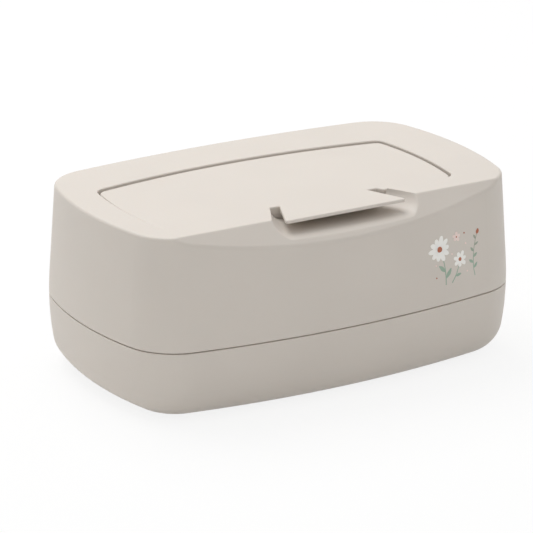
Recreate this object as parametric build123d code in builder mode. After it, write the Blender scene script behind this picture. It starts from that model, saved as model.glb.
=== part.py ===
from build123d import *
import math
import os

# A baby wipes box in two moulded halves with a flush flip lid.
# +X is to the right, the front faces -Y, +Z is up and z = 0 is the surface it stands on.

# Body, seen from above: four bowed sides joined by round corners
body_length = 225.0
body_depth = 139.2
front_bow = 13.3
back_bow = 8.6
end_bow = 14.3
corner_radius = 29.0

# Body, seen from the side
foot_stand = 0.8
base_height = 36.5
upper_height = 57.0
belly_height = 12.3
wall_taper = 0.069
base_slope = 0.25
base_round = 16.5
wall = 2.4

# Sloping facet under the front edge of the top
facet_reach = 11.0
facet_angle = 44.0
facet_round = 3.0
top_round = 1.5

# Lap joint between the halves
lap_height = 5.0
lap_wall = 1.0
lap_clearance = 0.15
seam_gap = 0.5
seam_round = 0.4

# Rims left around the lid, measured on the top from its edges
rim_left = 16.5
rim_right = 29.2
rim_back = 29.9
rim_front = 13.9
well_corner = 6.0
well_end_bow = 3.3
well_back_bow = 8.2
well_wall = 2.0
well_edge_break = 0.4
deck_depth = 11.6
trough_depth = 17.4
trough_reach = 7.0

# Lid
lid_step = 0.8
lid_gap = 1.0
lid_gap_back = 1.2
lid_thickness = 2.4
lid_edge_round = 0.8

# Hinge
hinge_from_back = 14.8
hinge_depth = 1.9
pin_radius = 1.0
pin_clearance = 0.05
pin_in_wall = 7.0
pin_in_lid = 12.0
pin_chamfer = 0.2
knuckle_radius = 2.6
knuckle_inset = 3.0
knuckle_length = 11.0
pin_boss_radius = 2.4

# Tab and the finger scoop under it
scoop_shift = 3.0
tab_root_width = 50.8
tab_tip_width = 69.6
tab_reach = 17.7
tab_thickness = 1.6
tab_corner = 1.5
tab_setback = 3.8
skirt_thickness = 1.4
skirt_deck_gap = 1.5
scoop_width = 62.4
scoop_flare = 31.0
scoop_depth = 7.7
scoop_roll = 7.9
scoop_roll_power = 8
scoop_bow = 0.8
scoop_corner = 6.5
scoop_front_corner = 16.0

# Wipes opening, its rim and the seal
opening_length = 112.0
opening_corner = 16.0
opening_from_front = 9.5
opening_to_trough = 6.1
opening_rim_wall = 2.2
seal_width = 3.0
seal_height = 2.0
seal_tongue_width = 1.4
seal_tongue_height = 0.8

# Inner cover of the lid
liner_inset = 6.5
liner_height = 3.4
liner_floor = 1.6
liner_wall = 1.6
liner_from_hinge = 6.0
liner_edge_round = 0.8
rib_thickness = 1.2
rib_height = 1.5
rib_spacing = 28.0
rib_count = 5
rib_clearance = 0.3
nib_length = 12.0
nib_reach = 0.7
nib_height = 1.6
nib_from_middle = 48.0

# Pressure plate that lies on the stack of wipes
plate_clearance = 3.0
plate_height = 7.0
plate_wall = 1.8
plate_corner = 22.0
plate_cover_thickness = 1.6
plate_edge_round = 1.2
cover_fit = 0.1
cover_edge_round = 0.4
slot_length = 64.0
slot_width = 16.0
slot_collar = 2.0
weight_length = 42.0
weight_margin = 15.5
weight_thickness = 3.0
weight_clearance = 0.2
weight_gap = 4.0
weight_chamfer = 1.0

# Feet
foot_radius = 6.5
foot_sink = 1.2
foot_edge_gap = 8.0
foot_fit = 0.1
foot_edge_round = 0.4

# Edges are told apart by their place, to within this distance
near = 0.05

# Heights and places that follow
z_tray = foot_stand
z_seam = z_tray + base_height
z_top = z_seam + upper_height
z_lid = z_top - lid_step
z_deck = z_top - deck_depth
z_trough = z_top - trough_depth
z_floor = z_tray + wall
half_length = body_length / 2
half_depth = body_depth / 2


def side_radius(half_chord, bow):
    """Radius of an arc with this half chord and rise."""
    return (half_chord**2 + bow**2) / (2 * bow)


def upper_offset(height):
    """How far the wall has drawn in at this height above the seam."""
    if height < belly_height:
        return wall_taper * height**2 / (2 * belly_height)
    return wall_taper * (height - belly_height / 2)


def base_offset(depth):
    """How far the base wall has drawn in at this depth below the seam."""
    return base_slope * depth**2 / (2 * base_height)


def meeting_point(inset, side_bow):
    """Corner where a long side's arc meets an end's arc, before it is rounded."""
    side = side_radius(half_length, side_bow) - inset
    end = side_radius(half_depth, end_bow) - inset
    side_centre = Vector(0, half_depth - inset - side, 0)
    end_centre = Vector(half_length - inset - end, 0, 0)
    line = end_centre - side_centre
    along = (side**2 - end**2 + line.length**2) / (2 * line.length)
    across = math.sqrt(side**2 - along**2)
    unit = line.normalized()
    return side_centre + unit * along + Vector(unit.Y, -unit.X, 0) * across


def body_face(inset, corner=None):
    """Face inside the body's outline, moved inward by inset, with its own corner radius if one is given."""
    front = meeting_point(inset, front_bow)
    back = meeting_point(inset, back_bow)
    crown_x = half_length - inset
    crown_y = half_depth - inset
    with BuildSketch() as face:
        with BuildLine():
            ThreePointArc((-front.X, -front.Y), (0, -crown_y), (front.X, -front.Y))
            ThreePointArc((front.X, -front.Y), (crown_x, 0), (back.X, back.Y))
            ThreePointArc((back.X, back.Y), (0, crown_y), (-back.X, back.Y))
            ThreePointArc((-back.X, back.Y), (-crown_x, 0), (-front.X, -front.Y))
        make_face()
        fillet(face.vertices(), corner or corner_radius - inset)
    return face.sketch


top_inset = upper_offset(upper_height)
top_front = -(half_depth - top_inset - facet_reach)
well_left = -(half_length - top_inset) + rim_left
well_right = half_length - top_inset - rim_right
well_back = half_depth - top_inset - rim_back
well_front = top_front + rim_front
hinge_y = well_back - hinge_from_back
hinge_z = z_lid - hinge_depth
lid_front = well_front + lid_gap
tab_root_y = lid_front + tab_setback
scoop_back = tab_root_y - lid_gap
z_panel = z_lid - lid_thickness


def well_face(inset, back_inset):
    """Face inside the lid well's outline, moved inward by inset and at the back by back_inset."""
    left = well_left + inset
    right = well_right - inset
    front = well_front + inset
    back = well_back - back_inset
    middle_x = (left + right) / 2
    shoulder = back - well_back_bow
    middle_y = (front + shoulder) / 2
    with BuildSketch() as face:
        with BuildLine():
            Line((left + well_end_bow, front), (right - well_end_bow, front))
            ThreePointArc((right - well_end_bow, front), (right, middle_y), (right - well_end_bow, shoulder))
            ThreePointArc((right - well_end_bow, shoulder), (middle_x, back), (left + well_end_bow, shoulder))
            ThreePointArc((left + well_end_bow, shoulder), (left, middle_y), (left + well_end_bow, front))
        make_face()
        fillet(face.vertices(), max(well_corner - inset, 1.0))
    return face.sketch


def scoop_half(y):
    """Half the scoop's width at this place along Y."""
    return scoop_width / 2 + (scoop_back - y) * math.tan(math.radians(scoop_flare))


def scoop_low(y):
    """Lowest height of the scoop's floor at this place along Y. It rolls over towards the front."""
    opened = (scoop_back - y) / (scoop_back + half_depth)
    return z_top - scoop_depth - scoop_roll * opened**scoop_roll_power


def scoop_face(y, grow):
    """Section of the scoop at this place along Y, made wider and deeper by grow."""
    half = scoop_half(y) + grow
    low = scoop_low(y) - grow
    high = z_top + scoop_depth
    opened = (scoop_back - y) / (scoop_back + half_depth)
    corner = scoop_corner + (scoop_front_corner - scoop_corner) * opened + grow
    with BuildSketch() as face:
        with BuildLine():
            left = scoop_shift - half
            right = scoop_shift + half
            side_foot = low + scoop_bow
            ThreePointArc((left, side_foot), (scoop_shift, low), (right, side_foot))
            Polyline((right, side_foot), (right, high), (left, high), (left, side_foot))
        make_face()
        fillet(face.vertices().group_by(Axis.Y)[0], corner)
    return face.sketch


def tongue_face():
    """Face of the scoop's floor where it reaches back into the lid well, with its side walls."""
    front = well_front - well_wall
    with BuildSketch() as face:
        with Locations((scoop_shift, 0)):
            Polygon(
                (-scoop_half(scoop_back) - well_wall, scoop_back),
                (-scoop_half(front) - well_wall, front),
                (scoop_half(front) + well_wall, front),
                (scoop_half(scoop_back) + well_wall, scoop_back),
                align=None,
            )
    return face.sketch


def on_facet(edge):
    """Whether an edge lies in the facet, below its crease."""
    middle = edge.position_at(0.5)
    return abs(facet_plane(0).to_local_coords(middle).Z) < near and middle.Z < z_top - near


def on_scoop_rim(edge):
    """Whether an edge is where the scoop's hollow runs out through the facet."""
    middle = edge.position_at(0.5)
    beside = abs(middle.X - scoop_shift) < scoop_half(middle.Y) + near
    return on_facet(edge) and beside and middle.Z > scoop_low(middle.Y) - near


def on_outline(edge):
    """Whether an edge of the top lies on the body's outline or on the facet's crease."""
    middle = edge.position_at(0.5)
    beside_well = not well_left - well_wall < middle.X < well_right + well_wall
    return beside_well or middle.Y > well_back + well_wall or middle.Y < top_front + top_round


def facet_plane(inset):
    """Plane of the front facet, moved into the body by inset."""
    tilt = math.radians(facet_angle)
    outward = Vector(0, -math.cos(tilt), math.sin(tilt))
    return Plane(origin=Vector(0, top_front, z_top) - outward * inset, x_dir=(1, 0, 0), z_dir=outward)


def strip_face(front, back):
    """Wide face between two places along Y, for keeping part of an outline."""
    with BuildSketch() as face:
        with Locations((0, (front + back) / 2)):
            Rectangle(2 * body_length, back - front)
    return face.sketch


def opening_face(grow):
    """Face of the wipes opening, made wider all round by grow."""
    opening_depth = opening_back - opening_front
    corner = min(opening_corner, 0.45 * opening_depth)
    with BuildSketch() as face:
        with Locations((0, (opening_front + opening_back) / 2)):
            RectangleRounded(opening_length + 2 * grow, opening_depth + 2 * grow, corner + grow)
    return face.sketch


trough_front = hinge_y - trough_reach
opening_front = well_front + opening_from_front
opening_back = trough_front - opening_to_trough
z_opening_rim = z_lid - lid_thickness - liner_height - seal_height
lip_inset = wall - lap_wall
upper_steps = [upper_height * step / 5 for step in range(1, 5)]
base_steps = [base_height * step / 4 for step in range(1, 4)]
scoop_steps = [scoop_back - (scoop_back + half_depth) * step / 8 for step in range(9)]

# Outer form of the upper half, cut by the facet
with BuildPart() as upper_form:
    for height in [seam_gap / 2, *upper_steps, upper_height]:
        with BuildSketch(Plane.XY.offset(z_seam + height)):
            add(body_face(upper_offset(height)))
    loft()
    split(bisect_by=facet_plane(0), keep=Keep.BOTTOM)
    fillet(upper_form.edges().filter_by(on_facet), facet_round)
    fillet(upper_form.faces().sort_by(Axis.Z)[0].edges(), seam_round)

# Space inside the upper half
with BuildPart() as upper_space:
    for height in [0, *upper_steps, upper_height - wall]:
        with BuildSketch(Plane.XY.offset(z_seam + height)):
            add(body_face(upper_offset(height) + wall))
    loft()
    split(bisect_by=facet_plane(wall), keep=Keep.BOTTOM)

# Hollow of the scoop, a wide flaring channel whose floor rolls over towards the front
with BuildPart() as scoop_space:
    for y in scoop_steps:
        with BuildSketch(Plane.XZ.offset(-y)):
            add(scoop_face(y, 0))
    loft()

# Block around the scoop, inside the outer form, which leaves its walls
with BuildPart() as scoop_block:
    for y in scoop_steps:
        with BuildSketch(Plane.XZ.offset(-y)):
            add(scoop_face(y, well_wall))
    loft()
    add(upper_form.part, mode=Mode.INTERSECT)

# Outer form with the scoop cut into it and its edges rounded
with BuildPart() as notched_form:
    add(upper_form.part)
    add(scoop_space.part, mode=Mode.SUBTRACT)
    top_edges = notched_form.faces().sort_by(Axis.Z)[-1].edges()
    rounded_edges = notched_form.edges().filter_by(on_scoop_rim) + top_edges.filter_by(on_outline)
    fillet(rounded_edges, top_round)

# Space inside the upper half, less the walls around the scoop, the well and its trough
with BuildPart() as upper_hollow:
    add(upper_space.part)
    with BuildSketch(Plane.XY.offset(z_seam)):
        add(body_face(lip_inset - lap_clearance))
    extrude(amount=lap_height)
    add(scoop_block.part, mode=Mode.SUBTRACT)
    with BuildSketch(Plane.XY.offset(z_deck - well_wall)):
        add(well_face(-well_wall, -well_wall))
    extrude(amount=deck_depth + well_wall, mode=Mode.SUBTRACT)
    with BuildSketch(Plane.XY.offset(z_trough - well_wall)):
        add(well_face(-well_wall, -well_wall))
        add(strip_face(trough_front - well_wall, half_depth), mode=Mode.INTERSECT)
    extrude(amount=trough_depth + well_wall, mode=Mode.SUBTRACT)
    for end, turn in ((well_left, -1), (well_right, 1)):
        with BuildSketch(Plane.YZ.offset(end)):
            with Locations((hinge_y, hinge_z)):
                Circle(pin_boss_radius)
        extrude(amount=turn * (pin_in_wall + well_wall / 2), mode=Mode.SUBTRACT)

# Upper housing: one moulding with the rim, the lid well, the scoop and the wipes opening
left_pin_x = well_left - pin_in_wall
right_pin_x = well_right + pin_in_wall
with BuildPart() as upper_housing:
    add(notched_form.part)
    add(upper_hollow.part, mode=Mode.SUBTRACT)
    with BuildSketch(Plane.XY.offset(z_trough)):
        add(well_face(0, 0))
        add(strip_face(trough_front, half_depth), mode=Mode.INTERSECT)
    extrude(amount=trough_depth, mode=Mode.SUBTRACT)
    with BuildSketch(Plane.XY.offset(z_deck)):
        add(well_face(0, 0))
        add(tongue_face(), mode=Mode.SUBTRACT)
        add(opening_face(opening_rim_wall), mode=Mode.SUBTRACT)
    extrude(amount=deck_depth, mode=Mode.SUBTRACT)
    with BuildSketch(Plane.XY.offset(z_opening_rim)):
        add(opening_face(opening_rim_wall))
    extrude(amount=deck_depth, mode=Mode.SUBTRACT)
    with BuildSketch(Plane.XY.offset(z_panel - lid_gap)):
        add(well_face(0, 0))
    extrude(amount=deck_depth, mode=Mode.SUBTRACT)
    with BuildSketch(Plane.XY.offset(z_deck - 2 * well_wall)):
        add(opening_face(0))
    extrude(amount=deck_depth, mode=Mode.SUBTRACT)
    with BuildSketch(Plane.XY.offset(z_top - well_edge_break)):
        add(well_face(0, 0))
    extrude(amount=2 * well_edge_break, taper=-45, mode=Mode.SUBTRACT)
    for start, turn in ((left_pin_x, 1), (right_pin_x, -1)):
        with BuildSketch(Plane.YZ.offset(start)):
            with Locations((hinge_y, hinge_z)):
                Circle(pin_radius)
        extrude(amount=turn * (pin_in_wall + well_end_bow), mode=Mode.SUBTRACT)
upper_housing.part.label = "upper_housing"

# Hinge pins, pressed into the walls at both ends of the well
hinge_pins = {}
for name, start, turn in (("hinge_pin_left", left_pin_x, 1), ("hinge_pin_right", right_pin_x, -1)):
    with BuildPart() as pin:
        with BuildSketch(Plane.YZ.offset(start)):
            with Locations((hinge_y, hinge_z)):
                Circle(pin_radius)
        extrude(amount=turn * (pin_in_wall + lid_gap + pin_in_lid))
        chamfer(pin.edges().filter_by(GeomType.CIRCLE), pin_chamfer)
    pin.part.label = name
    hinge_pins[name] = pin.part

# Lid: flat panel with a flared tab, knuckles under its rear corners and ribs under its middle
tab_tip_y = lid_front - tab_reach
liner_back = hinge_y - liner_from_hinge
liner_middle = (well_left + well_right) / 2
with BuildPart() as lid_panel:
    with BuildSketch(Plane.XY.offset(z_panel)):
        add(well_face(lid_gap, lid_gap_back))
        with Locations((scoop_shift, 0)):
            Polygon(
                (-scoop_half(tab_root_y), tab_root_y),
                (-scoop_half(well_front), well_front),
                (scoop_half(well_front), well_front),
                (scoop_half(tab_root_y), tab_root_y),
                align=None,
                mode=Mode.SUBTRACT,
            )
            Polygon(
                (-tab_root_width / 2, tab_root_y + tab_setback),
                (-tab_root_width / 2, tab_root_y),
                (-tab_tip_width / 2, tab_tip_y),
                (tab_tip_width / 2, tab_tip_y),
                (tab_root_width / 2, tab_root_y),
                (tab_root_width / 2, tab_root_y + tab_setback),
                align=None,
            )
    extrude(amount=lid_thickness)
    fillet(lid_panel.edges().filter_by(Axis.Z).group_by(Axis.Y)[0], tab_corner)
    fillet(lid_panel.faces().sort_by(Axis.Z)[-1].edges(), lid_edge_round)
    with BuildSketch(Plane.XY.offset(z_panel)):
        with Locations((scoop_shift, tab_tip_y)):
            Rectangle(2 * tab_tip_width, 2 * (tab_reach - lid_gap))
    extrude(amount=lid_thickness - tab_thickness, mode=Mode.SUBTRACT)
    with BuildSketch(Plane.XY.offset(z_deck + skirt_deck_gap)):
        with Locations((scoop_shift, tab_root_y + skirt_thickness / 2)):
            Rectangle(2 * scoop_half(tab_root_y), skirt_thickness)
    extrude(amount=z_panel - z_deck - skirt_deck_gap)
    for x in (well_left + lid_gap + knuckle_inset, well_right - lid_gap - knuckle_inset - knuckle_length):
        with BuildSketch(Plane.YZ.offset(x)):
            with Locations((hinge_y, hinge_z)):
                Circle(knuckle_radius)
            with Locations((hinge_y, z_panel + body_depth)):
                Rectangle(body_depth, 2 * body_depth, mode=Mode.SUBTRACT)
        extrude(amount=knuckle_length)
    for start, turn in ((well_left, 1), (well_right, -1)):
        with BuildSketch(Plane.YZ.offset(start)):
            with Locations((hinge_y, hinge_z)):
                Circle(pin_radius + pin_clearance)
        extrude(amount=turn * (lid_gap + pin_in_lid + lid_gap), mode=Mode.SUBTRACT)
    rib_front = well_front + liner_inset + liner_wall + rib_clearance
    rib_back = liner_back - liner_wall - rib_clearance
    with BuildSketch(Plane.XY.offset(z_panel)):
        with Locations((liner_middle, (rib_front + rib_back) / 2)):
            with GridLocations(rib_spacing, 0, rib_count, 1):
                Rectangle(rib_thickness, rib_back - rib_front)
    extrude(amount=-rib_height)
    with BuildSketch(Plane.XY.offset(z_panel - nib_height / 2)):
        for x in (scoop_shift - nib_from_middle, scoop_shift + nib_from_middle):
            with Locations((x, lid_front - nib_reach / 2 + rib_thickness / 2)):
                Rectangle(nib_length, nib_reach + rib_thickness)
    extrude(amount=nib_height)
lid_panel.part.label = "lid_panel"

# Inner cover of the lid, a shallow tray that closes off the ribs and carries the seal
z_liner = z_panel - liner_height
with BuildPart() as lid_liner:
    with BuildSketch(Plane.XY.offset(z_liner)):
        add(well_face(liner_inset, liner_inset))
        add(strip_face(-body_depth, liner_back), mode=Mode.INTERSECT)
    extrude(amount=liner_height)
    fillet(lid_liner.faces().sort_by(Axis.Z)[0].edges(), liner_edge_round)
    with BuildSketch(Plane.XY.offset(z_liner + liner_floor)):
        add(well_face(liner_inset + liner_wall, liner_inset + liner_wall))
        add(strip_face(-body_depth, liner_back - liner_wall), mode=Mode.INTERSECT)
    extrude(amount=liner_height, mode=Mode.SUBTRACT)
    with BuildSketch(Plane.XY.offset(z_liner)):
        add(opening_face((opening_rim_wall + seal_tongue_width) / 2))
        add(opening_face((opening_rim_wall - seal_tongue_width) / 2), mode=Mode.SUBTRACT)
    extrude(amount=seal_tongue_height, mode=Mode.SUBTRACT)
lid_liner.part.label = "lid_liner"

# Soft seal ring under the lid, held by its tongue
with BuildPart() as lid_seal:
    with BuildSketch(Plane.XY.offset(z_opening_rim)):
        add(opening_face((opening_rim_wall + seal_width) / 2))
        add(opening_face((opening_rim_wall - seal_width) / 2), mode=Mode.SUBTRACT)
    extrude(amount=seal_height)
    with BuildSketch(Plane.XY.offset(z_liner)):
        add(opening_face((opening_rim_wall + seal_tongue_width) / 2))
        add(opening_face((opening_rim_wall - seal_tongue_width) / 2), mode=Mode.SUBTRACT)
    extrude(amount=seal_tongue_height)
lid_seal.part.label = "lid_seal"

# Outer form of the base and the space inside it
with BuildPart() as base_form:
    for depth in [base_height, *reversed(base_steps), seam_gap / 2]:
        with BuildSketch(Plane.XY.offset(z_seam - depth)):
            add(body_face(base_offset(depth)))
    loft()
    fillet(base_form.faces().sort_by(Axis.Z)[0].edges(), base_round)
    fillet(base_form.faces().sort_by(Axis.Z)[-1].edges(), seam_round)

with BuildPart() as base_space:
    for depth in [base_height - wall, *reversed(base_steps), 0]:
        with BuildSketch(Plane.XY.offset(z_seam - depth)):
            add(body_face(base_offset(depth) + wall))
    loft()
    fillet(base_space.faces().sort_by(Axis.Z)[0].edges(), base_round - wall)

# Base tray with its lap lip and the recesses for the feet
floor_inset = base_offset(base_height) + base_round
foot_x = half_length - end_bow - floor_inset - foot_edge_gap
foot_front_y = -(half_depth - front_bow - floor_inset - foot_edge_gap)
foot_back_y = half_depth - back_bow - floor_inset - foot_edge_gap
foot_places = {
    "foot_front_left": (-foot_x, foot_front_y),
    "foot_front_right": (foot_x, foot_front_y),
    "foot_rear_left": (-foot_x, foot_back_y),
    "foot_rear_right": (foot_x, foot_back_y),
}
with BuildPart() as base_tray:
    add(base_form.part)
    add(base_space.part, mode=Mode.SUBTRACT)
    with BuildSketch(Plane.XY.offset(z_seam - seam_gap / 2)):
        add(body_face(lip_inset))
        add(body_face(wall), mode=Mode.SUBTRACT)
    extrude(amount=lap_height + seam_gap / 2)
    with BuildSketch(Plane.XY.offset(z_tray)):
        with Locations(*foot_places.values()):
            Circle(foot_radius + foot_fit)
    extrude(amount=foot_sink, mode=Mode.SUBTRACT)
base_tray.part.label = "base_tray"

# Soft feet, stuck in the recesses
feet = {}
for name, place in foot_places.items():
    with BuildPart() as foot:
        with BuildSketch():
            with Locations(place):
                Circle(foot_radius)
        extrude(amount=foot_stand + foot_sink)
        fillet(foot.edges().group_by(Axis.Z)[0], foot_edge_round)
    foot.part.label = name
    feet[name] = foot.part

# Pressure plate: a shallow tray with a wipes slot, two weights and a cover
plate_inset = floor_inset + plate_clearance
z_plate_top = z_floor + plate_height
z_cover = z_plate_top - plate_cover_thickness
weight_width = 2 * (half_depth - plate_inset - weight_margin)
pocket_length = weight_length + 2 * weight_clearance
pocket_width = weight_width + 2 * weight_clearance
weight_x = slot_length / 2 + slot_collar + weight_gap + weight_length / 2
weight_places = {"plate_weight_left": -weight_x, "plate_weight_right": weight_x}
with BuildPart() as pressure_plate:
    with BuildSketch(Plane.XY.offset(z_floor)):
        add(body_face(plate_inset, plate_corner))
    extrude(amount=plate_height)
    fillet(pressure_plate.faces().sort_by(Axis.Z)[0].edges(), plate_edge_round)
    with BuildSketch(Plane.XY.offset(z_floor + plate_wall)):
        add(body_face(plate_inset + plate_wall, plate_corner - plate_wall))
        SlotOverall(slot_length + 2 * slot_collar, slot_width + 2 * slot_collar, mode=Mode.SUBTRACT)
    extrude(amount=plate_height, mode=Mode.SUBTRACT)
    with BuildSketch(Plane.XY.offset(z_floor + plate_wall)):
        for x in weight_places.values():
            with Locations((x, 0)):
                Rectangle(pocket_length + 2 * rib_thickness, pocket_width + 2 * rib_thickness)
                Rectangle(pocket_length, pocket_width, mode=Mode.SUBTRACT)
    extrude(amount=weight_thickness)
    with BuildSketch(Plane.XY.offset(z_cover)):
        SlotOverall(slot_length + 2 * slot_collar, slot_width + 2 * slot_collar)
    extrude(amount=plate_height, mode=Mode.SUBTRACT)
    with BuildSketch(Plane.XY.offset(z_floor)):
        SlotOverall(slot_length, slot_width)
    extrude(amount=plate_height, mode=Mode.SUBTRACT)
pressure_plate.part.label = "pressure_plate"

with BuildPart() as plate_cover:
    with BuildSketch(Plane.XY.offset(z_cover)):
        add(body_face(plate_inset + plate_wall + cover_fit, plate_corner - plate_wall - cover_fit))
    extrude(amount=plate_cover_thickness)
    fillet(plate_cover.faces().sort_by(Axis.Z)[-1].edges(), cover_edge_round)
    with BuildSketch(Plane.XY.offset(z_cover)):
        SlotOverall(slot_length, slot_width)
    extrude(amount=plate_height, mode=Mode.SUBTRACT)
plate_cover.part.label = "plate_cover"

weights = {}
for name, x in weight_places.items():
    with BuildPart() as weight:
        with BuildSketch(Plane.XY.offset(z_floor + plate_wall)):
            with Locations((x, 0)):
                Rectangle(weight_length, weight_width)
        extrude(amount=weight_thickness)
        chamfer(weight.edges().filter_by(Axis.Z), weight_chamfer)
    weight.part.label = name
    weights[name] = weight.part

# One STEP file for each piece
pieces = [base_tray.part, upper_housing.part, lid_panel.part, lid_liner.part, lid_seal.part]
pieces += [pressure_plate.part, plate_cover.part]
pieces += [*hinge_pins.values(), *feet.values(), *weights.values()]
os.makedirs("parts", exist_ok=True)
for piece in pieces:
    export_step(piece, f"parts/{piece.label}.step")
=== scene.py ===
import math

import bmesh
import bpy
from bpy.props import FloatProperty, FloatVectorProperty, IntProperty, PointerProperty
from mathutils import Matrix, Quaternion, Vector, noise
from mathutils.bvhtree import BVHTree


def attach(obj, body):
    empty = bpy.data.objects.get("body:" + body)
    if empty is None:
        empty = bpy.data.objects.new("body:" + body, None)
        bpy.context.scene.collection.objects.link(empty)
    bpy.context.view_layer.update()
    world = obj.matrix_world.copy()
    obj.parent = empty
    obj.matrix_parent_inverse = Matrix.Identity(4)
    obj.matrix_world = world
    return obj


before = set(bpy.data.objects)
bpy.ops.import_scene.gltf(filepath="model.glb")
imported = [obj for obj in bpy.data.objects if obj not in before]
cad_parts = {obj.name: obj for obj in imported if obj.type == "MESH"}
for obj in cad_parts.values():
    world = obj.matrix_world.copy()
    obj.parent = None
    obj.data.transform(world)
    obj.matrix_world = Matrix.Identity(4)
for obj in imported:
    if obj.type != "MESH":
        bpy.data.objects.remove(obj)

bl_info = {
    "name": "Baby wipes box",
    "version": (1, 0, 0),
    "blender": (4, 5, 0),
    "location": "View3D > Sidebar > Wipes box",
    "description": "Finishes the parts of a baby wipes box, prints its flowers and sets its stage",
    "category": "Object",
}

MM = 0.001
WHITE = (1.0, 1.0, 1.0, 1.0)

# Stretch of values that most of a noise falls in, and the whole of a factor
MIDDLE = (0.3, 0.7)
FULL = (0.0, 1.0)

# Place of each input and output on a colour Mix node, whose names are not unique
MIX_FACTOR, MIX_FIRST, MIX_SECOND, MIX_RESULT = 0, 6, 7, 2


def linear(code):
    """Linear colour with alpha from an sRGB hex code."""
    parts = [int(code[place:place + 2], 16) / 255 for place in (0, 2, 4)]
    return [part / 12.92 if part <= 0.04045 else ((part + 0.055) / 1.055) ** 2.4 for part in parts] + [1.0]


def colour(name, code, description):
    """Colour property with a default given as an sRGB hex code."""
    return FloatVectorProperty(
        name=name, description=description, subtype="COLOR", size=4, min=0.0, max=1.0, default=linear(code)
    )


def length(name, millimetres, description):
    """Length property with a default given in millimetres."""
    return FloatProperty(
        name=name, description=description, subtype="DISTANCE", unit="LENGTH", precision=5,
        default=millimetres * MM,
    )


def angle(name, degrees, description):
    """Angle property with a default given in degrees."""
    return FloatProperty(name=name, description=description, subtype="ANGLE", default=math.radians(degrees))


class WipesBoxColours(bpy.types.PropertyGroup):
    body: colour("Body", "D9D1C8", "Moulded plastic of the two body halves and the lid")
    liner: colour("Liner", "E6E1DA", "Plastic of the lid's inner cover")
    plate: colour("Plate", "DCD5CC", "Plastic of the pressure plate")
    seal: colour("Seal", "E6E3DD", "Silicone of the lid's seal")
    foot: colour("Feet", "8D877F", "Soft rubber of the feet")
    pin: colour("Pins", "C2C3C5", "Bright drawn steel of the hinge pins")
    weight: colour("Weights", "A9ABAC", "Rolled steel of the plate's weights")
    white_ink: colour("White ink", "FDFBF6", "Petals of the printed flowers")
    clay_ink: colour("Clay ink", "B4694B", "Hearts and buds of the printed flowers")
    leaf_ink: colour("Leaf ink", "9DB4A1", "Stems and leaves of the printed flowers")
    rose_ink: colour("Rose ink", "F3DFD8", "Small printed blossoms and dots")


class WipesBoxFinish(bpy.types.PropertyGroup):
    grain: length("Grain", 0.35, "Width of one grain of the mould's eroded surface")
    clouding: length("Clouding", 40.0, "Width of the faint clouds that the flowing plastic leaves")
    roughness: FloatProperty(name="Roughness", description="Of the satin plastic", min=0, max=1, default=0.5)
    scuff: length("Scuffs", 1.6, "Length of the faint scuffs that handling leaves")


class WipesBoxPrint(bpy.types.PropertyGroup):
    ink: length("Ink thickness", 0.08, "Height of the printed ink above the wall")
    stem: length("Stem width", 0.55, "Width of a stem at its foot")
    petals: IntProperty(name="Petals", description="Petals of the large flower", min=5, max=16, default=10)
    wobble: length("Wobble", 0.16, "How unevenly the hand drew the outlines")


class WipesBoxStage(bpy.types.PropertyGroup):
    azimuth: angle("Camera azimuth", -31.02, "Turn of the camera round the box from straight in front")
    elevation: angle("Camera elevation", 19.31, "Angle of the camera above the horizon")
    roll: angle("Camera roll", 0.209, "Turn of the camera about its own line of sight")
    distance: length("Camera distance", 1800.0, "From the camera to the point it looks at")
    lens: FloatProperty(name="Lens", description="Focal length in millimetres", default=242.0)
    sky: FloatProperty(name="Sky", description="Strength of the soft light overhead", default=0.73)
    horizon: FloatProperty(name="Horizon", description="Strength of the soft light at eye level", default=0.1)
    key: FloatProperty(
        name="Key", description="Power of the softbox above and behind", unit="POWER", default=13.2
    )
    fill: FloatProperty(name="Fill", description="Power of the softbox in front", unit="POWER", default=0.75)


def add_node(tree, kind, inputs=None, **settings):
    """Adds a node, gives it its settings, and sets or links its inputs by name or number."""
    node = tree.nodes.new(kind)
    for key, value in settings.items():
        setattr(node, key, value)
    for key, value in (inputs or {}).items():
        if isinstance(value, bpy.types.NodeSocket):
            tree.links.new(value, node.inputs[key])
        else:
            node.inputs[key].default_value = value
    return node


def new_material(name):
    """Empty node material and its tree."""
    material = bpy.data.materials.new(name)
    material.use_nodes = True
    material.node_tree.nodes.clear()
    return material, material.node_tree


def dress(material, *nodes):
    """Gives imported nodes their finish."""
    for name in nodes:
        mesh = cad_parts[name].data
        mesh.materials.clear()
        mesh.materials.append(material)


def shade(tone, share):
    """A colour made lighter or darker by a share of itself."""
    return [min(1.0, part * (1 + share)) for part in tone[:3]] + [1.0]


def noise_at(tree, place, width, detail=2.0, stretch=None):
    """Noise whose blobs have a real width, stretched along an axis if asked."""
    if stretch:
        place = add_node(tree, "ShaderNodeMapping", {"Vector": place, "Scale": stretch}).outputs["Vector"]
    return add_node(
        tree, "ShaderNodeTexNoise", {"Vector": place, "Scale": 1 / width, "Detail": detail}
    ).outputs["Fac"]


def spread(tree, value, source, target):
    """Maps a stretch of values onto another."""
    inputs = {
        "Value": value, "From Min": source[0], "From Max": source[1], "To Min": target[0], "To Max": target[1]
    }
    return add_node(tree, "ShaderNodeMapRange", inputs).outputs["Result"]


def mix(tree, factor, first, second):
    """Colour between two others."""
    inputs = {MIX_FACTOR: factor, MIX_FIRST: first, MIX_SECOND: second}
    return add_node(tree, "ShaderNodeMix", inputs, data_type="RGBA").outputs[MIX_RESULT]


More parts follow.
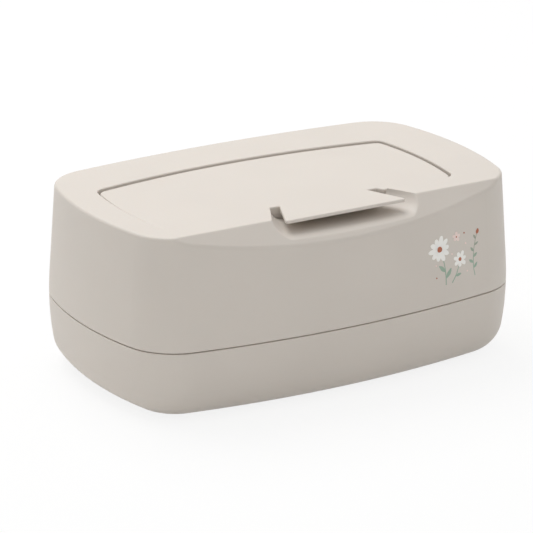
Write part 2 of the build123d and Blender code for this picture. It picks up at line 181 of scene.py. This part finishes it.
def finish_material(material, tree, surface, bump=None, **sockets):
    """Ends a material with its shader, its relief if it has one and its output."""
    inputs = {name.replace("_", " "): value for name, value in sockets.items()}
    inputs["Base Color"] = surface
    if bump:
        height, depth, strength = bump
        inputs["Normal"] = add_node(
            tree, "ShaderNodeBump", {"Height": height, "Distance": depth, "Strength": strength}
        ).outputs["Normal"]
    shader = add_node(tree, "ShaderNodeBsdfPrincipled", inputs)
    add_node(tree, "ShaderNodeOutputMaterial", {"Surface": shader.outputs["BSDF"]})
    return material


def satin_polypropylene(name, tone, finish):
    """Polypropylene moulded against a spark-eroded steel surface: satin, a little cloudy where the melt
    flowed, with an even fine grain and faint short scuffs that are glossier than the rest."""
    cloud_tint, speckle_tint, scuff_gloss, grain_depth = 0.012, 0.035, 0.08, 0.012 * MM
    material, tree = new_material(name)
    place = add_node(tree, "ShaderNodeTexCoord").outputs["Object"]
    clouds = noise_at(tree, place, finish.clouding, detail=1.0)
    speckle = noise_at(tree, place, 3 * finish.grain, detail=1.0)
    base = mix(tree, spread(tree, clouds, MIDDLE, FULL), shade(tone, -cloud_tint), shade(tone, cloud_tint))
    base = mix(tree, spread(tree, speckle, (0.62, 0.8), (0.0, 0.35)), base, shade(tone, -speckle_tint))
    scuffs = noise_at(tree, place, finish.scuff, detail=3.0, stretch=(0.3, 1.0, 1.6))
    gloss = spread(tree, scuffs, (0.6, 0.75), (finish.roughness, finish.roughness - scuff_gloss))
    # Real grain is about 0.05 mm; it is drawn coarser so that it shows from close by
    grain = noise_at(tree, place, finish.grain, detail=1.0)
    return finish_material(
        material, tree, base, bump=(grain, grain_depth, 0.5), Roughness=gloss, IOR=1.49,
        Subsurface_Weight=0.04, Subsurface_Radius=(1.0, 0.6, 0.4), Subsurface_Scale=1.5 * MM,
    )


def smooth_polypropylene(name, tone, finish):
    """Polypropylene from a plain ground mould: smoother than the outside, with fine grinding lines."""
    line_width, line_depth = 0.5 * MM, 0.006 * MM
    material, tree = new_material(name)
    place = add_node(tree, "ShaderNodeTexCoord").outputs["Object"]
    clouds = noise_at(tree, place, finish.clouding / 2, detail=1.0)
    base = mix(tree, spread(tree, clouds, MIDDLE, FULL), shade(tone, -0.015), shade(tone, 0.01))
    lines = noise_at(tree, place, line_width, stretch=(0.04, 1.0, 1.0))
    gloss = spread(tree, lines, MIDDLE, (0.3, 0.4))
    return finish_material(material, tree, base, bump=(lines, line_depth, 0.4), Roughness=gloss, IOR=1.49)


def silicone(name, tone):
    """Compression-moulded silicone: soft and matt, with a bloom of fine dust that clings to it."""
    dust_width, dust_depth = 0.8 * MM, 0.01 * MM
    material, tree = new_material(name)
    place = add_node(tree, "ShaderNodeTexCoord").outputs["Object"]
    dust = noise_at(tree, place, dust_width, detail=3.0)
    base = mix(tree, spread(tree, dust, (0.45, 0.75), FULL), tone, shade(tone, 0.05))
    gloss = spread(tree, dust, MIDDLE, (0.55, 0.7))
    return finish_material(
        material, tree, base, bump=(dust, dust_depth, 0.5), Roughness=gloss, IOR=1.41,
        Sheen_Weight=0.15, Sheen_Roughness=0.5,
    )


def soft_rubber(name, tone):
    """Thermoplastic rubber: matt, grey-brown, with a pebbled skin that holds dust."""
    pebble_width, pebble_depth, dust_width, dust_tint = 0.6 * MM, 0.03 * MM, 2.5 * MM, 0.14
    material, tree = new_material(name)
    place = add_node(tree, "ShaderNodeTexCoord").outputs["Object"]
    pebbles = add_node(
        tree, "ShaderNodeTexVoronoi", {"Vector": place, "Scale": 1 / pebble_width}, feature="F1"
    ).outputs["Distance"]
    dust = noise_at(tree, place, dust_width, detail=4.0)
    base = mix(tree, spread(tree, dust, (0.45, 0.7), FULL), tone, shade(tone, dust_tint))
    gloss = spread(tree, dust, MIDDLE, (0.75, 0.9))
    return finish_material(
        material, tree, base, bump=(pebbles, pebble_depth, 0.6), Roughness=gloss, IOR=1.5,
        Sheen_Weight=0.1, Sheen_Roughness=0.6,
    )


def drawn_steel(name, tone):
    """Bright drawn wire: mirror-like along the pin, with fine drawing lines along its length."""
    line_width, line_depth = 0.12 * MM, 0.004 * MM
    material, tree = new_material(name)
    place = add_node(tree, "ShaderNodeTexCoord").outputs["Object"]
    lines = noise_at(tree, place, line_width, stretch=(0.02, 1.0, 1.0))
    base = mix(tree, lines, shade(tone, -0.12), shade(tone, 0.06))
    gloss = spread(tree, lines, MIDDLE, (0.18, 0.32))
    return finish_material(material, tree, base, bump=(lines, line_depth, 0.4), Metallic=1.0, Roughness=gloss)


def rolled_steel(name, tone):
    """Cold-rolled steel plate: dull grey, mottled by its oil film, with rolling lines along its length."""
    film_width, line_width, line_depth = 9 * MM, 0.35 * MM, 0.008 * MM
    material, tree = new_material(name)
    place = add_node(tree, "ShaderNodeTexCoord").outputs["Object"]
    film = noise_at(tree, place, film_width, detail=4.0)
    lines = noise_at(tree, place, line_width, stretch=(0.03, 1.0, 1.0))
    base = mix(tree, spread(tree, film, (0.35, 0.65), FULL), shade(tone, -0.15), tone)
    gloss = spread(tree, film, MIDDLE, (0.38, 0.55))
    return finish_material(material, tree, base, bump=(lines, line_depth, 0.5), Metallic=1.0, Roughness=gloss)


def pad_printed_ink(name, tone, fade=None):
    """Pad-printed ink: a thin semi-matt film, a little uneven like brush paint, with pinholes of the grain.
    With a fade, it turns to another colour between two heights."""
    stroke_width, stroke_tint, pinhole_width, pinhole_depth = 1.2 * MM, 0.12, 0.3 * MM, 0.01 * MM
    material, tree = new_material(name)
    place = add_node(tree, "ShaderNodeTexCoord").outputs["Object"]
    surface = tone
    if fade:
        other, low, high = fade
        height = add_node(tree, "ShaderNodeSeparateXYZ", {"Vector": place}).outputs["Z"]
        surface = mix(tree, spread(tree, height, (low, high), FULL), tone, other)
    strokes = noise_at(tree, place, stroke_width, detail=3.0)
    surface = mix(tree, spread(tree, strokes, (0.5, 0.75), (0.0, 0.4)), surface, shade(tone, stroke_tint))
    pinholes = noise_at(tree, place, pinhole_width, detail=1.0)
    return finish_material(
        material, tree, surface, bump=(pinholes, pinhole_depth, 0.4), Roughness=0.42, IOR=1.5
    )


class WIPESBOX_OT_body(bpy.types.Operator):
    """Finishes the base tray and the upper housing"""
    bl_idname = "wipesbox.body"
    bl_label = "Body"

    def execute(self, context):
        colours = context.scene.wipesbox_colours
        finish = context.scene.wipesbox_finish
        dress(satin_polypropylene("satin_polypropylene", colours.body, finish), "base_tray", "upper_housing")
        return {"FINISHED"}


class WIPESBOX_OT_lid(bpy.types.Operator):
    """Finishes the lid, its inner cover, its seal and its hinge pins"""
    bl_idname = "wipesbox.lid"
    bl_label = "Lid"

    def execute(self, context):
        colours = context.scene.wipesbox_colours
        finish = context.scene.wipesbox_finish
        dress(satin_polypropylene("satin_polypropylene_lid", colours.body, finish), "lid_panel")
        dress(smooth_polypropylene("smooth_polypropylene_liner", colours.liner, finish), "lid_liner")
        dress(silicone("moulded_silicone_seal", colours.seal), "lid_seal")
        dress(drawn_steel("bright_drawn_steel", colours.pin), "hinge_pin_left", "hinge_pin_right")
        return {"FINISHED"}


class WIPESBOX_OT_plate(bpy.types.Operator):
    """Finishes the pressure plate, its cover and its weights"""
    bl_idname = "wipesbox.plate"
    bl_label = "Pressure plate"

    def execute(self, context):
        colours = context.scene.wipesbox_colours
        finish = context.scene.wipesbox_finish
        plastic = satin_polypropylene("satin_polypropylene_plate", colours.plate, finish)
        dress(plastic, "pressure_plate", "plate_cover")
        dress(rolled_steel("cold_rolled_steel", colours.weight), "plate_weight_left", "plate_weight_right")
        return {"FINISHED"}


class WIPESBOX_OT_feet(bpy.types.Operator):
    """Finishes the four feet"""
    bl_idname = "wipesbox.feet"
    bl_label = "Feet"

    def execute(self, context):
        rubber = soft_rubber("pebbled_soft_rubber", context.scene.wipesbox_colours.foot)
        dress(rubber, *(f"foot_{end}_{side}" for end in ("front", "rear") for side in ("left", "right")))
        return {"FINISHED"}


PETAL_POINTS = 26
PETAL_SWELL = 0.18
PETAL_UNEVENNESS = 0.1
PETAL_START = 0.3
LEAF_POINT = 0.35
LEAF_SHRINK = 0.35
STEM_STEPS = 18
STEM_TAPER = 0.45
LAYER_RISE = 0.25
DRIFT_WIDTH = 1.5 * MM

# Places on the front wall, in millimetres from the box's middle and from the surface it stands on.
# A stem has its foot, its bend and its tip. A dot has its place and its width.
TALL_STEM = ((56.4, 47.6), (56.8, 57.5), (52.6, 66.5))
SHORT_STEM = ((60.2, 47.8), (64.4, 52.5), (65.6, 59.0))
SPRIG = ((75.4, 48.6), (72.6, 58.0), (76.8, 69.5))
BLOSSOM = (63.4, 70.8)
ROSE_DOTS = ((69.4, 66.4, 1.1), (60.4, 62.6, 0.9), (70.2, 52.0, 1.0), (50.2, 58.6, 0.9))
CLAY_DOTS = ((68.4, 71.9, 0.8), (50.4, 52.2, 0.8))
LEAF_FADE = ("A79F92", 56.0, 74.0)


def add_petal(shape, place, turn, size, pointed=0.0):
    """Adds a petal, leaf or bud to a flat drawing. It grows from its place, turned from straight up."""
    width, reach = size
    made = bmesh.ops.create_circle(shape, cap_ends=True, segments=PETAL_POINTS, radius=1.0)["verts"]
    for vertex in made:
        if pointed:
            vertex.co.x *= (1 - min(1.0, abs(vertex.co.y))) ** (LEAF_POINT * pointed)
        else:
            vertex.co.x *= 1 + PETAL_SWELL * vertex.co.y
    bmesh.ops.scale(shape, vec=(width / 2, reach / 2, 1), verts=made)
    bmesh.ops.translate(shape, vec=(0, reach / 2, 0), verts=made)
    bmesh.ops.rotate(shape, cent=(0, 0, 0), matrix=Matrix.Rotation(-turn, 3, "Z"), verts=made)
    bmesh.ops.translate(shape, vec=(place[0], place[1], 0), verts=made)


def add_dot(shape, place, size):
    """Adds a round dot about its place to a flat drawing."""
    made = bmesh.ops.create_circle(shape, cap_ends=True, segments=PETAL_POINTS, radius=size / 2)["verts"]
    bmesh.ops.translate(shape, vec=(place[0], place[1], 0), verts=made)


def stem_point(route, share):
    """Place and direction on a stem that bends from its first point past its second to its third."""
    foot, bend, tip = (Vector(point) for point in route)
    place = foot * (1 - share) ** 2 + bend * 2 * share * (1 - share) + tip * share**2
    return place, ((bend - foot) * (1 - share) + (tip - bend) * share).normalized()


def add_stem(shape, route, width):
    """Adds a bent stem that thins towards its tip to a flat drawing."""
    made = bmesh.ops.create_grid(shape, x_segments=1, y_segments=STEM_STEPS, size=0.5)["verts"]
    for vertex in made:
        share = vertex.co.y + 0.5
        place, along = stem_point(route, share)
        side = Vector((along.y, -along.x)) * vertex.co.x * width * (1 - STEM_TAPER * share)
        vertex.co = (place.x + side.x, place.y + side.y, 0)


def add_flower(inks, place, petals, size, heart, lean=0.0, ink="white"):
    """Adds a flower head: a ring of petals, each with its width and length, and a heart in clay."""
    for index in range(petals):
        turn = lean + index * math.tau / petals
        uneven = 1 + PETAL_UNEVENNESS * math.sin(3 * turn + lean)
        away = heart * PETAL_START
        start = (place[0] + away * math.sin(turn), place[1] + away * math.cos(turn))
        add_petal(inks[ink], start, turn, (size[0], size[1] * uneven))
    add_dot(inks["clay"], place, heart)


def add_leaves(shape, route, shares, size, spread_angle):
    """Adds leaves to a stem, right and left in turn. The angle is between leaf and stem, in degrees."""
    side = 1
    for share in shares:
        place, along = stem_point(route, share)
        turn = math.atan2(along.x, along.y) + side * math.radians(spread_angle)
        shrink = 1 - LEAF_SHRINK * share
        add_petal(shape, place, turn, (size[0] * shrink, size[1] * shrink), pointed=1.0)
        side = -side


def lay_on_wall(name, shape, wall, settings, layer):
    """Presses a flat drawing, across in X and up in Y, onto the front wall as a closed film of ink."""
    for vertex in shape.verts:
        drift = noise.noise_vector(Vector((vertex.co.x, vertex.co.y, layer)) / DRIFT_WIDTH)
        vertex.co.x += drift.x * settings.wobble
        vertex.co.y += drift.y * settings.wobble
    made = bmesh.ops.extrude_face_region(shape, geom=shape.faces[:])["geom"]
    raised = {element for element in made if isinstance(element, bmesh.types.BMVert)}
    height = settings.ink * (1 + LAYER_RISE * layer)
    for vertex in shape.verts:
        spot, facing, _, _ = wall.ray_cast(Vector((vertex.co.x, -1.0, vertex.co.y)), Vector((0, 1, 0)))
        if spot is None:
            raise RuntimeError(f"{name} lies beside the wall")
        vertex.co = spot + facing * (height if vertex in raised else -height / 2)
    bmesh.ops.recalc_face_normals(shape, faces=shape.faces[:])
    mesh = bpy.data.meshes.new(name)
    shape.to_mesh(mesh)
    shape.free()
    piece = bpy.data.objects.new(name, mesh)
    bpy.context.scene.collection.objects.link(piece)
    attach(piece, "housing")
    return piece


class WIPESBOX_OT_print(bpy.types.Operator):
    """Prints a few field flowers at the right of the front wall"""
    bl_idname = "wipesbox.print"
    bl_label = "Printed flowers"

    def execute(self, context):
        scene = context.scene
        settings = scene.wipesbox_print
        colours = scene.wipesbox_colours
        shape = bmesh.new()
        shape.from_mesh(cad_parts["upper_housing"].data)
        wall = BVHTree.FromBMesh(shape)
        shape.free()
        inks = {ink: bmesh.new() for ink in ("leaf", "white", "rose", "clay")}

        tall, short, sprig = (
            [Vector(point) * MM for point in route] for route in (TALL_STEM, SHORT_STEM, SPRIG)
        )
        leaf = inks["leaf"]
        for route, share in ((tall, 1.0), (short, 0.85), (sprig, 0.7)):
            add_stem(leaf, route, settings.stem * share)
        add_leaves(leaf, tall, shares=(0.16, 0.34), size=(2.3 * MM, 6.4 * MM), spread_angle=38)
        add_leaves(leaf, short, shares=(0.3,), size=(1.7 * MM, 4.4 * MM), spread_angle=44)
        sprig_shares = (0.2, 0.34, 0.48, 0.62, 0.76, 0.9)
        add_leaves(leaf, sprig, shares=sprig_shares, size=(1.7 * MM, 3.9 * MM), spread_angle=48)
        add_flower(
            inks, tall[-1], petals=settings.petals, size=(2.5 * MM, 5.6 * MM), heart=3.0 * MM, lean=0.2
        )
        add_flower(inks, short[-1], petals=7, size=(2.0 * MM, 3.6 * MM), heart=1.9 * MM, lean=0.5)
        add_flower(
            inks, Vector(BLOSSOM) * MM, petals=5, size=(1.7 * MM, 2.3 * MM), heart=0.9 * MM, ink="rose"
        )
        for x, z, size in ROSE_DOTS:
            add_dot(inks["rose"], (x * MM, z * MM), size * MM)
        add_petal(inks["clay"], sprig[-1], turn=0.35, size=(1.7 * MM, 2.9 * MM), pointed=0.6)
        for x, z, size in CLAY_DOTS:
            add_dot(inks["clay"], (x * MM, z * MM), size * MM)

        faded, low, high = LEAF_FADE
        fade = (linear(faded), low * MM, high * MM)
        inked = {
            "leaf": pad_printed_ink("pad_printed_leaf_ink", colours.leaf_ink, fade),
            "white": pad_printed_ink("pad_printed_white_ink", colours.white_ink),
            "rose": pad_printed_ink("pad_printed_rose_ink", colours.rose_ink),
            "clay": pad_printed_ink("pad_printed_clay_ink", colours.clay_ink),
        }
        for layer, (ink, drawing) in enumerate(inks.items()):
            piece = lay_on_wall(f"print_{ink}", drawing, wall, settings, layer)
            piece.data.materials.append(inked[ink])
        return {"FINISHED"}


# Point that the camera and the lamps look at, in millimetres
TARGET = (-5.1, 4.4, 46.9)

# Place and width of each softbox, in metres
KEY_SOFTBOX = ((-0.12, 0.72, 1.42), 1.1)
FRONT_SOFTBOX = ((-0.7, -1.25, 0.45), 0.9)

# Share of the floor's look that is plain white. The rest is its own shading, which shows the shadow.
FLOOR_WHITE = 0.85
FLOOR_COLOUR = "FAFAF9"

# From the floor's middle to its edge, in metres
FLOOR_REACH = 6.0

# Width of the camera's sensor, in millimetres
SENSOR_WIDTH = 36.0

# Sines of the angles above the horizon between which the world turns from horizon to sky
SKY_RISE = (0.1, 0.6)


class WIPESBOX_OT_stage(bpy.types.Operator):
    """Adds the floor, the lights, the world and the camera"""
    bl_idname = "wipesbox.stage"
    bl_label = "Stage"

    def execute(self, context):
        scene = context.scene
        stage = scene.wipesbox_stage
        scene.view_settings.view_transform = "Standard"
        target = Vector(TARGET) * MM
        self.add_floor(scene)
        self.add_world(scene, stage)
        self.add_softbox(scene, "key_softbox", KEY_SOFTBOX, target, stage.key)
        self.add_softbox(scene, "front_softbox", FRONT_SOFTBOX, target, stage.fill)
        self.add_camera(scene, stage, target)
        return {"FINISHED"}

    def add_floor(self, scene):
        """Adds a floor that is white to the camera, so the box stands on white, and keeps its shadow."""
        mesh = bpy.data.meshes.new("floor")
        shape = bmesh.new()
        bmesh.ops.create_grid(shape, x_segments=1, y_segments=1, size=FLOOR_REACH)
        shape.to_mesh(mesh)
        shape.free()
        floor = bpy.data.objects.new("floor", mesh)
        scene.collection.objects.link(floor)
        material, tree = new_material("white_floor")
        diffuse = add_node(tree, "ShaderNodeBsdfDiffuse", {"Color": linear(FLOOR_COLOUR)})
        glow = add_node(tree, "ShaderNodeEmission", {"Color": WHITE, "Strength": 1.0})
        seen = add_node(
            tree, "ShaderNodeMath", {0: self.seen_by_eye(tree), 1: FLOOR_WHITE}, operation="MULTIPLY"
        ).outputs[0]
        mixed = add_node(tree, "ShaderNodeMixShader", {0: seen, 1: diffuse.outputs[0], 2: glow.outputs[0]})
        add_node(tree, "ShaderNodeOutputMaterial", {"Surface": mixed.outputs[0]})
        mesh.materials.append(material)

    def seen_by_eye(self, tree):
        """1 for rays from the camera, straight or by way of something glossy or clear, and 0 for lighting."""
        path = add_node(tree, "ShaderNodeLightPath").outputs
        seen = path["Is Camera Ray"]
        for way in ("Is Glossy Ray", "Is Transmission Ray"):
            seen = add_node(tree, "ShaderNodeMath", {0: seen, 1: path[way]}, operation="MAXIMUM").outputs[0]
        return seen

    def add_world(self, scene, stage):
        """Adds a world that is white to the camera and lights the box softly, most from overhead."""
        world = bpy.data.worlds.new("white_studio")
        scene.world = world
        world.use_nodes = True
        tree = world.node_tree
        tree.nodes.clear()
        facing = add_node(tree, "ShaderNodeTexCoord").outputs["Generated"]
        height = add_node(tree, "ShaderNodeSeparateXYZ", {"Vector": facing}).outputs["Z"]
        strength = spread(tree, height, SKY_RISE, (stage.horizon, stage.sky))
        soft = add_node(tree, "ShaderNodeBackground", {"Color": WHITE, "Strength": strength})
        white = add_node(tree, "ShaderNodeBackground", {"Color": WHITE, "Strength": 1.0})
        seen = self.seen_by_eye(tree)
        mixed = add_node(tree, "ShaderNodeMixShader", {0: seen, 1: soft.outputs[0], 2: white.outputs[0]})
        add_node(tree, "ShaderNodeOutputWorld", {"Surface": mixed.outputs[0]})

    def add_softbox(self, scene, name, softbox, target, power):
        """Adds a square softbox that faces the target."""
        place, width = Vector(softbox[0]), softbox[1]
        data = bpy.data.lights.new(name, "AREA")
        data.shape = "SQUARE"
        data.size = width
        data.energy = power
        lamp = bpy.data.objects.new(name, data)
        lamp.location = place
        lamp.rotation_mode = "QUATERNION"
        lamp.rotation_quaternion = (target - place).to_track_quat("-Z", "Y")
        scene.collection.objects.link(lamp)

    def add_camera(self, scene, stage, target):
        """Adds the camera at the photograph's angle."""
        back = Vector((
            math.sin(stage.azimuth) * math.cos(stage.elevation),
            -math.cos(stage.azimuth) * math.cos(stage.elevation),
            math.sin(stage.elevation),
        ))
        data = bpy.data.cameras.new("camera")
        data.lens = stage.lens
        data.sensor_width = SENSOR_WIDTH
        camera = bpy.data.objects.new("camera", data)
        camera.location = target + back * stage.distance
        camera.rotation_mode = "QUATERNION"
        camera.rotation_quaternion = Quaternion(back, stage.roll) @ (-back).to_track_quat("-Z", "Y")
        scene.collection.objects.link(camera)
        scene.camera = camera


class WIPESBOX_PT_panel(bpy.types.Panel):
    """Lists what makes up the box and its stage"""
    bl_idname = "WIPESBOX_PT_panel"
    bl_label = "Wipes box"
    bl_space_type = "VIEW_3D"
    bl_region_type = "UI"
    bl_category = "Wipes box"

    def draw(self, context):
        scene = context.scene
        for operator in OPERATORS:
            self.layout.operator(operator.bl_idname)
        for group in (getattr(scene, name) for name in GROUPS):
            for name in group.__annotations__:
                self.layout.prop(group, name)


OPERATORS = (
    WIPESBOX_OT_body,
    WIPESBOX_OT_lid,
    WIPESBOX_OT_plate,
    WIPESBOX_OT_feet,
    WIPESBOX_OT_print,
    WIPESBOX_OT_stage,
)
GROUPS = {
    "wipesbox_colours": WipesBoxColours,
    "wipesbox_finish": WipesBoxFinish,
    "wipesbox_print": WipesBoxPrint,
    "wipesbox_stage": WipesBoxStage,
}


def register():
    for cls in (*GROUPS.values(), *OPERATORS, WIPESBOX_PT_panel):
        bpy.utils.register_class(cls)
    for name, group in GROUPS.items():
        setattr(bpy.types.Scene, name, PointerProperty(type=group))


def unregister():
    for name in GROUPS:
        delattr(bpy.types.Scene, name)
    for cls in (WIPESBOX_PT_panel, *reversed(OPERATORS), *GROUPS.values()):
        bpy.utils.unregister_class(cls)


def main():
    """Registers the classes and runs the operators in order."""
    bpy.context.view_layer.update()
    register()
    bpy.ops.wipesbox.body()
    bpy.ops.wipesbox.lid()
    bpy.ops.wipesbox.plate()
    bpy.ops.wipesbox.feet()
    bpy.ops.wipesbox.print()
    bpy.ops.wipesbox.stage()


if __name__ == "__main__":
    main()
